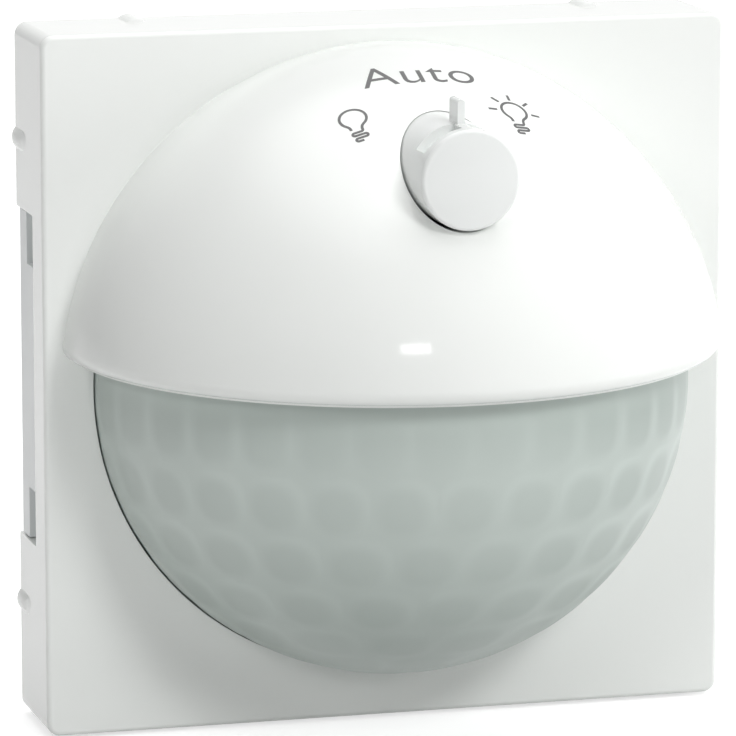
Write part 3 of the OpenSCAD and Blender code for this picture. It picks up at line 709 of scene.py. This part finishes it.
def make_knob():
    knob = solid("knob", knob_turning())
    for side in (-1, 1):
        combine(knob, finger_hollow(side), "DIFFERENCE")
    combine(knob, pointer_fin(), "UNION")
    drive = box((DRIVE_SIDE, DRIVE_START_F - DRIVE_END_F + 1, DRIVE_SIDE),
                (0, -(DRIVE_START_F + DRIVE_END_F + 1) / 2, KNOB_Z))
    combine(knob, drive, "UNION")
    finish(knob, "mode_knob_cap", knob_white, "knob")
    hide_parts("mode_knob")


# Marks printed on the hood

PRINT_LINE = 0.28


class HoodPrint:
    """A flat drawing in millimetres that is then laid on the hood round a middle place."""

    thickness = 0.02
    patch = 0.5

    def __init__(self, middle):
        self.middle = Vector(middle).normalized()
        self.right = Vector((1, 0, 0))
        self.right = (self.right - self.middle * self.right.dot(self.middle)).normalized()
        self.up = self.right.cross(-self.middle).normalized()
        self.bm = bmesh.new()

    def stroke(self, start, end, width):
        """A straight bar from one place to another."""
        a, b = Vector((*start, 0)), Vector((*end, 0))
        across = (b - a).normalized().cross(Vector((0, 0, 1))) * width / 2
        self.bm.faces.new([self.bm.verts.new(p) for p in (a - across, b - across, b + across, a + across)])

    def pen(self, start, heading, width, moves):
        """A bar drawn like a pen's line: each move is a straight length and then a radius and a turn."""
        place = Vector((*start, 0))
        angle = math.radians(heading)
        left = Vector((-math.sin(angle), math.cos(angle), 0))
        ends = [self.bm.verts.new(place + left * side * width / 2) for side in (-1, 1)]
        nib = self.bm.edges.new(ends)
        for length, radius, turn in moves:
            ahead = Vector((math.cos(angle), math.sin(angle), 0))
            left = Vector((-ahead.y, ahead.x, 0))
            if length:
                made = bmesh.ops.extrude_edge_only(self.bm, edges=[nib])["geom"]
                bmesh.ops.translate(self.bm, vec=ahead * length, verts=verts_of(made))
                nib = edges_of(made)[0]
                place = place + ahead * length
            if turn:
                side = 1 if turn > 0 else -1
                centre = place + left * radius * side
                sweep = math.radians(turn)
                made = bmesh.ops.spin(self.bm, geom=[*nib.verts, nib], cent=centre, axis=(0, 0, 1),
                                      angle=sweep, steps=max(6, int(abs(turn) / 10)))["geom_last"]
                nib = edges_of(made)[0]
                place = centre + Matrix.Rotation(sweep, 3, "Z") @ (place - centre)
                angle += sweep

    def words(self, text, size, shift):
        """A word in the plain built-in letters."""
        curve = bpy.data.curves.new("words", "FONT")
        curve.body = text
        curve.size = size
        curve.space_character = 1.04
        curve.offset = -0.03
        curve.align_x = "CENTER"
        holder = bpy.data.objects.new("words", curve)
        bpy.context.scene.collection.objects.link(holder)
        depsgraph = bpy.context.evaluated_depsgraph_get()
        mesh = bpy.data.meshes.new_from_object(holder.evaluated_get(depsgraph))
        self.bm.from_mesh(mesh)
        bpy.data.objects.remove(holder)
        bmesh.ops.translate(self.bm, vec=(*shift, 0), verts=self.bm.verts)

    def lay(self, name):
        """Cuts the drawing into small patches, lays it on the hood and gives it a thickness."""
        bm = self.bm
        reach = max(max(abs(v.co.x), abs(v.co.y)) for v in bm.verts)
        count = math.ceil(reach / self.patch)
        for axis in ((1, 0, 0), (0, 1, 0)):
            for i in range(-count, count + 1):
                bmesh.ops.bisect_plane(bm, geom=bm.verts[:] + bm.edges[:] + bm.faces[:], dist=SMALL,
                                       plane_co=Vector(axis) * (i * self.patch), plane_no=axis)
        bmesh.ops.remove_doubles(bm, verts=bm.verts, dist=SMALL)
        for vert in bm.verts:
            place = self.middle * HOOD_R + self.right * vert.co.x + self.up * vert.co.y
            vert.co = place.normalized() * (HOOD_R - self.thickness)
        top = bmesh.ops.extrude_face_region(bm, geom=bm.faces[:])["geom"]
        for vert in verts_of(top):
            vert.co = vert.co.normalized() * (HOOD_R + self.thickness)
        bmesh.ops.translate(bm, vec=(0, FRONT_Y, 0), verts=bm.verts)
        finish(solid(name, bm), name, print_grey, "housing")


def bulb(sign):
    """A plain light bulb in one line: neck, glass, neck and the winding turns of its base."""
    sign.pen((-0.5, -1.3), 90, PRINT_LINE, (
        (0.05, 0.84, 50),
        (0, 1.32, -280),
        (0, 0.84, 50),
        (0.2, 0.2, -83),
        (0.75, 0.2, 180),
        (1.0, 0.2, -180),
        (0.9, 0.2, 180),
        (0.5, 0, 0),
    ))


def make_prints():
    word = HoodPrint((-0.13, -11.7, 31.28))
    word.words("Auto", 5.55, (0, -1.0))
    word.lay("print_automatic")
    dark = HoodPrint((-8.1, -16.4, 27.95))
    bulb(dark)
    dark.lay("print_off")
    lit = HoodPrint((8.09, -16.22, 28.0))
    bulb(lit)
    glass = Vector((0.05, 0.3))
    ray_start, ray_end = 1.85, 2.75
    for angle in range(0, 181, 45):
        way = Vector((math.cos(math.radians(angle)), math.sin(math.radians(angle))))
        lit.stroke(glass + way * ray_start, glass + way * ray_end, PRINT_LINE)
    lit.lay("print_on")


make_cover()
make_lens()
make_knob()
make_prints()

# Finishes of the solids that show as they are
NODE_FINISH = {
    frame_grey: ("lens_retainer",),
    steel: ("retainer_screws", "knob_clip", "board_screws"),
    black_plastic: ("switch_body", "sensor_holder", "light_sensor", "controller_chip",
                    "voltage_regulator", "chip_resistors", "plug_header"),
    ivory_plastic: ("switch_rotor", "lux_dial", "time_dial", "range_dial"),
    contact_metal: ("switch_pins", "pir_leads", "plug_pins"),
    board_green: ("main_board",),
    can_metal: ("pir_can_left", "pir_can_right", "clock_crystal"),
    filter_dark: ("pir_window_left", "pir_window_right"),
    led_red: ("status_led",),
    capacitor_metal: ("supply_capacitors",),
    trimmer_blue: ("lux_trimmer", "time_trimmer", "range_trimmer"),
    tray_plastic: ("rear_carrier",),
}
for node_finish, names in NODE_FINISH.items():
    for name in names:
        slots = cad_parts[name].data.materials
        slots.clear()
        slots.append(node_finish)


# Camera at the photograph's viewing angle

def make_camera():
    data = bpy.data.cameras.new("camera")
    data.sensor_width = 36
    data.lens = 275
    data.clip_end = 20
    camera = bpy.data.objects.new("camera", data)
    right = Vector((0.9631, -0.2691, 0)).normalized()
    forward = Vector((0.2644, 0.9464, -0.1855)).normalized()
    up = right.cross(forward).normalized()
    turn = Matrix((right, up, -forward)).transposed().to_4x4()
    camera.matrix_world = Matrix.Translation(Vector((-150.1, -542.2, 104.5)) * MM) @ turn
    bpy.context.scene.collection.objects.link(camera)
    bpy.context.scene.camera = camera


# Floor, lamps and surroundings

FLOOR_HALF = 1.5
FLOOR_TONE = 0.66
FLOOR_LIFT = 0.62
AIM = (0, -0.02, 0)


def lamp(name, place, aim, size, power, in_gloss=False):
    """A soft lamp that gloss mirrors only where it is asked for."""
    data = bpy.data.lights.new(name, "AREA")
    data.shape = "RECTANGLE"
    data.size, data.size_y = size
    data.energy = power
    made = bpy.data.objects.new(name, data)
    made.location = place
    made.rotation_euler = (Vector(aim) - Vector(place)).to_track_quat("-Z", "Y").to_euler()
    made.visible_glossy = in_gloss
    bpy.context.scene.collection.objects.link(made)


def seen_rays(nodes, links):
    """1 for rays from the camera, or by way of gloss or glass, and 0 for the light on the object."""
    rays = nodes.new("ShaderNodeLightPath")
    total = rays.outputs["Is Camera Ray"]
    for name in ("Is Glossy Ray", "Is Transmission Ray"):
        either = nodes.new("ShaderNodeMath")
        either.operation = "MAXIMUM"
        links.new(total, either.inputs[0])
        links.new(rays.outputs[name], either.inputs[1])
        total = either.outputs["Value"]
    return total


def make_floor():
    floor_mesh = bmesh.new()
    bmesh.ops.create_grid(floor_mesh, x_segments=1, y_segments=1, size=FLOOR_HALF)
    bmesh.ops.translate(floor_mesh, vec=(0, 0, cad_box[0].z), verts=floor_mesh.verts)
    mesh = bpy.data.meshes.new("floor")
    floor_mesh.to_mesh(mesh)
    floor_mesh.free()
    floor = bpy.data.objects.new("floor", mesh)
    bpy.context.scene.collection.objects.link(floor)
    pale, nodes, links, shader = new_material("floor_pale")
    shader.inputs["Base Color"].default_value = (FLOOR_TONE, FLOOR_TONE, FLOOR_TONE, 1)
    shader.inputs["Roughness"].default_value = 0.8
    shader.inputs["Emission Color"].default_value = (1, 1, 1, 1)
    lift = nodes.new("ShaderNodeMath")
    lift.operation = "MULTIPLY"
    lift.inputs[1].default_value = FLOOR_LIFT
    links.new(seen_rays(nodes, links), lift.inputs[0])
    links.new(lift.outputs["Value"], shader.inputs["Emission Strength"])
    mesh.materials.append(pale)


def smooth_range(nodes, links, source, begin, end, low, high):
    """Maps a number softly from one range to another."""
    made = nodes.new("ShaderNodeMapRange")
    made.interpolation_type = "SMOOTHSTEP"
    made.inputs["From Min"].default_value = begin
    made.inputs["From Max"].default_value = end
    made.inputs["To Min"].default_value = low
    made.inputs["To Max"].default_value = high
    links.new(source, made.inputs["Value"])
    return made.outputs["Result"]


def make_surroundings():
    """A white background, brighter overhead and dimmer at the left, that is faint as light."""
    world = bpy.data.worlds.new("studio")
    world.use_nodes = True
    nodes, links = world.node_tree.nodes, world.node_tree.links
    background = nodes["Background"]
    background.inputs["Color"].default_value = (1, 1, 1, 1)
    way = nodes.new("ShaderNodeSeparateXYZ")
    links.new(nodes.new("ShaderNodeTexCoord").outputs["Generated"], way.inputs["Vector"])
    ceiling = smooth_range(nodes, links, way.outputs["Z"], 0.70, 0.98, 1.0, 3.1)
    dim_side = smooth_range(nodes, links, way.outputs["X"], -0.85, -0.15, 0.475, 1.0)
    mirrored = nodes.new("ShaderNodeMath")
    mirrored.operation = "MULTIPLY"
    links.new(ceiling, mirrored.inputs[0])
    links.new(dim_side, mirrored.inputs[1])
    level = nodes.new("ShaderNodeMapRange")
    level.clamp = False
    level.inputs["To Min"].default_value = 0.05
    links.new(seen_rays(nodes, links), level.inputs["Value"])
    links.new(mirrored.outputs["Value"], level.inputs["To Max"])
    links.new(level.outputs["Result"], background.inputs["Strength"])
    bpy.context.scene.world = world


make_camera()
make_floor()
make_surroundings()
lamp("key", (0.26, -0.785, 0.565), AIM, (0.22, 0.22), 3.15)
lamp("left_fill", (-0.64, -0.64, 0.42), AIM, (0.35, 0.35), 1.75)
lamp("right_box", (0.95, -0.26, 0.18), AIM, (0.45, 0.45), 4.55)
lamp("top_box", (0.1, 0, 1.0), AIM, (1.0, 1.0), 8.4)
lamp("rear_fill", (0.2, 0.9, 0.45), AIM, (0.5, 0.5), 1.2)
lamp("front_strip", (-0.105, -0.99, 0.33), (0, -0.03, 0.005), (0.18, 0.06), 0.25, in_gloss=True)
bpy.context.scene.view_settings.view_transform = "Standard"
